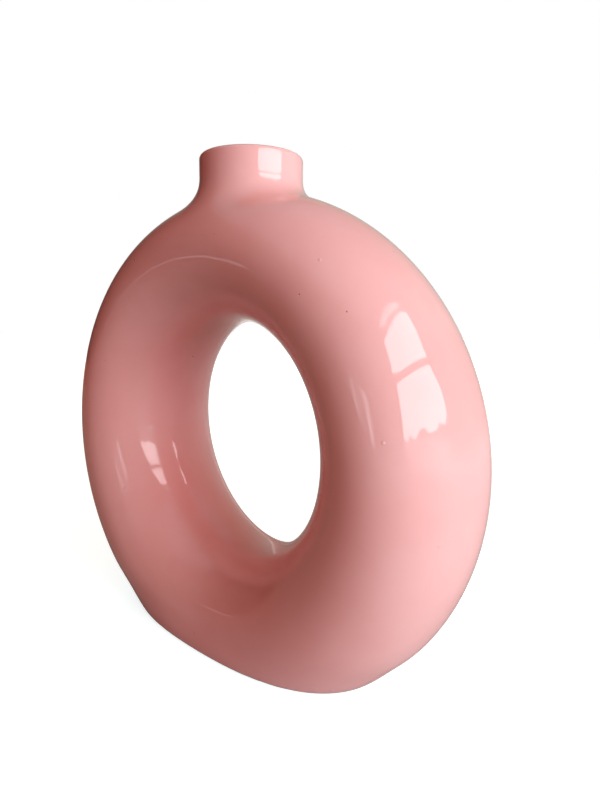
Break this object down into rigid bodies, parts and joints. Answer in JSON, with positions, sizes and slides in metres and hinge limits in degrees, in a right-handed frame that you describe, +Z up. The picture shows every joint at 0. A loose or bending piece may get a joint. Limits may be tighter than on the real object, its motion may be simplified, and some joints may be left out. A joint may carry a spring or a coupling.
{
  "type": "donut vase",
  "caption": "Upright hollow ring vase of glossy pink glazed ceramic with a short round neck on top, an off-centre hole through the ring and a flat oval foot.",
  "frame": {"origin": "middle of the flat oval foot, on the surface that the vase stands on", "axes": "+Z up along the neck, X across the ring's width, Y along the hole, with the front at -Y"},
  "size_m": [0.2, 0.064, 0.193],
  "materials": {
    "pink_glaze": "gloss",
    "bare_clay": "matte"
  },
  "bodies": {
    "root": {"front_shell": "pink_glaze", "back_shell": "pink_glaze", "neck_collar": "pink_glaze", "floor_slab": "bare_clay"}
  },
  "joints": []
}
